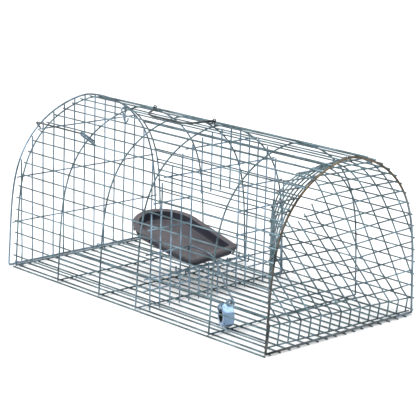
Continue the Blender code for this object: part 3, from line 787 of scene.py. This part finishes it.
def build_handle(coats, light):
    z = HANDLE_Z
    rear = HANDLE_REAR_X
    front = HANDLE_FRONT_X
    bend = ((-0.0040, 0.0, 0.0), (0.0005, 0.0, 0.0), (0.0100, -0.0200, -0.0018),
            (0.0200, -0.0245, -0.0025))
    corners = [(rear + x, y, z + drop) for x, y, drop in bend]
    corners += [(front - x, y, z + drop) for x, y, drop in reversed(bend)]
    bail = Bundle()
    bail.wire(rounded(corners, 0.0080, 7), 0.0011, sides=10)
    bail.build("handle_bail_bent", coats, "handle", ("handle_bail",))
    for name, node, x in (("handle_loop_rear", "handle_eye_rear", rear - EYE_SHIFT),
                          ("handle_loop_front", "handle_eye_front", front + EYE_SHIFT)):
        loop = []
        for turn in circle(18):
            rise = 0.0028 * math.sin(turn) - 0.0004
            loop.append((x + 0.0004 * math.sin(turn), 0.0024 * math.cos(turn), z + rise))
        eye = Bundle()
        eye.wire(loop, 0.0006, sides=6, closed=True)
        eye.build(name, light, "cage", (node,))


def build_bait_hook(coats):
    # The eye hangs on the wire, so its middle is a little below it.
    y, z = arch_point(wire_place(HOOK_WIRE))
    path = []
    for k in range(16):
        turn = math.radians(-60.0 + 21.0 * k)
        path.append((HOOK_X, y + HOOK_EYE * math.cos(turn), z + HOOK_EYE * math.sin(turn)))
    shape = ((0.0, -0.0048), (0.0, -0.0081), (0.0010, -0.0115), (0.0036, -0.0127), (0.0062, -0.0113),
             (0.0070, -0.0077))
    curl = [(HOOK_X + x, y, z + drop) for x, drop in shape]
    hook = Bundle()
    hook.wire(path + rounded(curl, 0.0035), HOOK_RADIUS)
    hook.build("bait_hook_bent", coats, "hook", ("bait_hook",))


# Pan, arm and nut ---------------------------------------------------------------------------


def pan_outline(grow, count=28):
    """Half round at the rear, narrower and square at the front, local to the pivot."""
    half = PAN_HALF + grow
    narrow = PAN_HALF * PAN_TAPER + grow
    corner = 0.0030
    corner_x = PAN_FRONT + grow - corner
    rear_x = -(PAN_LENGTH - PAN_FRONT - PAN_HALF)
    line = []
    for start, middle_y in ((-math.pi / 2, corner - narrow), (0.0, narrow - corner)):
        for k in range(5):
            turn = start + math.pi / 2 * k / 4
            line.append((corner_x + corner * math.cos(turn), middle_y + corner * math.sin(turn)))
    side = []
    for k in range(1, 7):
        side.append((corner_x + (rear_x - corner_x) * k / 7, narrow + (half - narrow) * k / 7))
    line += side
    for k in range(count):
        turn = math.pi * k / (count - 1)
        line.append((rear_x - half * math.sin(turn), half * math.cos(turn)))
    line += [(x, -y) for x, y in reversed(side)]
    return line


def pan_place(x, y, height):
    """A point of the pan, from its own flat frame to where it hangs."""
    forward = x * math.cos(PAN_PITCH) + height * math.sin(PAN_PITCH)
    rise = -x * math.sin(PAN_PITCH) + height * math.cos(PAN_PITCH) + y * math.sin(PAN_ROLL)
    return PAN_PIVOT + np.array((forward, y * math.cos(PAN_ROLL), rise))


def pan_ribs(tray, outline, base):
    """Short ribs under the pan's lip, one at every third point of its outline."""
    count = len(outline)
    quads = [(0, 3, 2, 1), (4, 5, 6, 7)] + [(k, (k + 1) % 4, 4 + (k + 1) % 4, 4 + k) for k in range(4)]
    for n in range(2, count, 3):
        along = unit(np.array(outline[(n + 1) % count]) - np.array(outline[n - 1]))
        out = np.array((along[1], -along[0]))
        rib = []
        for height, most in ((base + 0.0026, 0.0002), (PAN_RIM - 0.0028, 0.0014)):
            for side, reach in ((-1, -0.0016), (1, -0.0016), (1, most), (-1, most)):
                spot = np.array(outline[n]) + along * 0.0006 * side + out * reach
                rib.append(pan_place(spot[0], spot[1], height))
        tray.shell(rib, quads, False)


def build_pan(plastic, shade):
    base = PAN_RIM - PAN_DEPTH
    profile = [(-0.0052, base), (-0.0036, base), (-0.0026, base + 0.0006), (-0.0014, base + 0.0022),
               (-0.0008, PAN_RIM - 0.0030), (0.0020, PAN_RIM - 0.0032), (0.0024, PAN_RIM - 0.0029),
               (0.0024, PAN_RIM - 0.0006), (0.0018, PAN_RIM), (-0.0036, PAN_RIM),
               (-0.0042, PAN_RIM - 0.0006), (-0.0046, base + 0.0040), (-0.0056, base + 0.0020),
               (-0.0074, base + 0.0014)]
    # Loops 3, 10 and 11, the lower outer wall and the inner wall, take the second, darker plastic as
    # painted shade.
    shaded = (3, 10, 11)
    count = len(pan_outline(0.0))
    points = []
    for grow, height in profile:
        points += [pan_place(x, y, height) for x, y in pan_outline(grow)]
    faces = []
    for loop in range(len(profile) - 1):
        low = loop * count
        high = low + count
        for n in range(count):
            m = (n + 1) % count
            faces.append((low + n, low + m, high + m, high + n))
    tray = Bundle()
    tray.shell(points, faces)
    for loop in shaded:
        tray.coats[loop * count:(loop + 1) * count] = [1] * count
    last = (len(profile) - 1) * count
    tray.add_faces([list(range(count))[::-1], [last + n for n in range(count)]], 0, False, 0)
    pan_ribs(tray, pan_outline(0.0006), base)
    piece = tray.build("pan_tray_moulded", (plastic, shade), "pan", ("pan_tray",))
    bevel = piece.modifiers.new("edge", "BEVEL")
    bevel.width = 0.0003
    bevel.segments = 2
    bevel.limit_method = "ANGLE"


def build_axle(steel):
    """The rod that the pan tips on, and the two bent hangers that carry it from the partition."""
    axle = Bundle()
    axle.wire(straight((AXLE_X, -AXLE_HALF, AXLE_Z), (AXLE_X, AXLE_HALF, AXLE_Z)), 0.0013, sides=12)
    for y in (-0.030, -0.012, 0.012, 0.030):
        axle.weld((AXLE_X, y, AXLE_Z), 0.0019, 0, (1.0, 1.6, 1.0))
    axle.build("pan_axle_rod", steel, "pan", ("pan_axle",))
    near = PARTITION_X - 0.0020
    back = AXLE_X - 0.0026
    for name, node in (("hanger_near", "axle_hanger_near"), ("hanger_far", "axle_hanger_far")):
        y = centre(node)[1]
        path = [(near, y, AXLE_Z + 0.0060), (near, y, AXLE_Z - 0.0024), (back, y, AXLE_Z - 0.0024)]
        path.append((back, y, AXLE_Z + 0.0052))
        hanger = Bundle()
        hanger.wire(rounded(path, 0.0022), 0.0008)
        hanger.build(name, steel, "cage", (node,))


def build_arm(coats):
    """The bent wire that lies in the pan, goes through the passage and hooks into the nut."""
    back = NUT_CENTRE - NUT_FACING * (NUT_THICK / 2 + 0.0018)
    front = NUT_CENTRE + NUT_FACING * (NUT_THICK / 2 + 0.0022)
    lip = front + 0.0010 * NUT_FACING
    tip = NUT_CENTRE + 0.0030 * NUT_FACING
    inside = NUT_CENTRE[2] + NUT_BORE - 0.0015
    path = [(-0.0145, ARM_Y, 0.0405), (-0.0130, ARM_Y, 0.0452), (-0.0080, ARM_Y, 0.0461)]
    path += [(0.0150, ARM_Y, 0.0447), (0.0270, ARM_Y - 0.0002, 0.0405), (0.0300, -0.0125, 0.0385)]
    path += [(0.0720, -0.0410, 0.0325), (0.1080, -0.0660, 0.0300)]
    path += [(back[0], back[1], 0.0296), (back[0], back[1], inside), (front[0], front[1], inside)]
    path += [(lip[0], lip[1], inside + 0.0050), (tip[0], tip[1], 0.0290)]
    arm = Bundle()
    arm.wire(rounded(path, 0.0035, 6), 0.0009)
    loop = np.array((back[0], back[1], 0.0286)) + NUT_FACING * 0.0040
    arm.wire(coil(loop - NUT_ACROSS * 0.0026, loop + NUT_ACROSS * 0.0026, 0.0024, 3), 0.0008)
    arm.build("counterweight_arm_bent", coats, "pan", ("counterweight_arm",))


def nut_ring(reaches, depths):
    """A closed ring about the nut's axis, one point for each reach and depth."""
    ring = []
    for turn, reach, depth in zip(circle(len(reaches)), reaches, depths):
        flat = reach * (math.sin(turn) * NUT_ACROSS + np.array((0.0, 0.0, math.cos(turn))))
        ring.append(NUT_CENTRE + flat + depth * NUT_FACING)
    return ring


def build_nut(zinc, thread):
    """A hexagon nut with chamfered corners and a threaded bore."""
    steps = 72
    turns = 7
    rise = 4
    chamfer = 0.0016
    half = 0.5 * NUT_THICK
    inner = 0.5 * NUT_FLATS
    corner = NUT_FLATS / math.sqrt(3.0)
    hexagon = [inner / math.cos((turn % (math.pi / 3)) - math.pi / 6) for turn in circle(steps)]
    drops = [half - 0.0003 - chamfer * (reach - inner) / (corner - inner) for reach in hexagon]
    bore = nut_ring([NUT_BORE + 0.0004] * steps, [-half] * steps)
    face = nut_ring([inner * 0.97] * steps, [-half] * steps)
    loops = [bore, face, nut_ring(hexagon, [-drop for drop in drops]), nut_ring(hexagon, drops)]
    loops.append(nut_ring([inner * 0.97] * steps, [half] * steps))
    loops.append(nut_ring([NUT_BORE + 0.0004] * steps, [half] * steps))
    for step in range(turns * rise + 1):
        depth = half * (1.0 - 2.0 * step / (turns * rise)) * 0.96
        pitch = [2.0 * math.pi * (step / rise + k / steps) for k in range(steps)]
        loops.append(nut_ring([NUT_BORE + 0.0004 * math.cos(p) for p in pitch], [depth] * steps))
    faces = []
    for loop in range(len(loops)):
        low = loop * steps
        high = (loop + 1) % len(loops) * steps
        for k in range(steps):
            m = (k + 1) % steps
            faces.append((low + k, low + m, high + m, high + k))
    nut = Bundle()
    nut.shell([point for ring in loops for point in ring], faces)
    nut.coats[5 * steps:] = [1] * (len(faces) - 5 * steps)
    piece = nut.build("hex_nut_chamfered", (zinc, thread), "pan", ("hex_nut",))
    piece.data.set_sharp_from_angle(angle=math.radians(25))


# Stage --------------------------------------------------------------------------------------


def build_stage(coat):
    """A pale plain floor, an even white surround and two soft lamps."""
    reach = 6.0
    corners = [(-reach, -reach, 0.0), (reach, -reach, 0.0), (reach, reach, 0.0), (-reach, reach, 0.0)]
    mesh = bpy.data.meshes.new("studio_floor")
    mesh.from_pydata(corners, [], [(0, 1, 2, 3)])
    mesh.materials.append(coat)
    ground = bpy.data.objects.new("studio_floor", mesh)
    bpy.context.scene.collection.objects.link(ground)

    world = bpy.data.worlds.new("studio")
    world.use_nodes = True
    surround = world.node_tree.nodes["Background"]
    surround.inputs["Color"].default_value = (1.0, 1.0, 1.0, 1.0)
    surround.inputs["Strength"].default_value = 1.0
    bpy.context.scene.world = world
    lamps = (("key", (-0.5, -1.4, 1.7), 1.4, 34.0), ("top", (0.2, 0.3, 2.0), 1.2, 16.0))
    for name, place, size, power in lamps:
        light = bpy.data.lights.new(name, "AREA")
        light.size = size
        light.energy = power
        lamp = bpy.data.objects.new(name, light)
        bpy.context.scene.collection.objects.link(lamp)
        lamp.location = place
        lamp.rotation_euler = (AIM - Vector(place)).to_track_quat("-Z", "Y").to_euler()


def build_camera():
    back = Vector((math.sin(CAMERA_AZIMUTH) * math.cos(CAMERA_ELEVATION),
                   -math.cos(CAMERA_AZIMUTH) * math.cos(CAMERA_ELEVATION), math.sin(CAMERA_ELEVATION)))
    right = Vector((math.cos(CAMERA_AZIMUTH), math.sin(CAMERA_AZIMUTH), 0.0))
    up = back.cross(right)
    turned_right = right * math.cos(CAMERA_ROLL) + up * math.sin(CAMERA_ROLL)
    turned_up = up * math.cos(CAMERA_ROLL) - right * math.sin(CAMERA_ROLL)
    axes = Matrix((turned_right, turned_up, back)).transposed()
    lens = bpy.data.cameras.new("view")
    lens.lens = CAMERA_LENS
    lens.sensor_width = 36.0
    lens.shift_x, lens.shift_y = CAMERA_SHIFT
    lens.dof.use_dof = False
    camera = bpy.data.objects.new("view", lens)
    bpy.context.scene.collection.objects.link(camera)
    camera.matrix_world = Matrix.Translation(AIM + back * CAMERA_DISTANCE) @ axes.to_4x4()
    bpy.context.scene.camera = camera


def main():
    bpy.context.scene.view_settings.view_transform = "Standard"
    build_camera()
    wires = {name: wire_coat(name, *tones) for name, tones in WIRE_TONES.items()}
    steel = wires["galvanised_wire"]
    hoop = wires["hoop_wire"]
    weld = wires["weld_metal"]
    dull = wires["dull_wire"]
    build_stage(paper_coat("studio_paper"))
    build_body((steel, weld))
    build_floor_mesh((steel, weld))
    build_front_hoop((front_hoop_coat("bronzed_wire"),))
    build_cone((steel,))
    build_partition((wires["screen_wire"],))
    build_door((hoop,))
    build_hog_rings((hoop,))
    build_latch((dull,), (hoop,))
    build_handle((dull,), (steel,))
    build_bait_hook((hoop,))
    # The pan's second, darker plastic is painted shade on its inner wall and lower outer wall.
    build_pan(plastic_coat("dark_plastic", (0.052, 0.052, 0.064), (0.098, 0.086, 0.092)),
              plastic_coat("painted_shade_plastic", (0.008, 0.010, 0.022), (0.022, 0.024, 0.040)))
    build_axle((steel,))
    build_arm((hoop,))
    build_nut(zinc_coat("zinc_plate"), thread_coat("nut_thread"))


main()
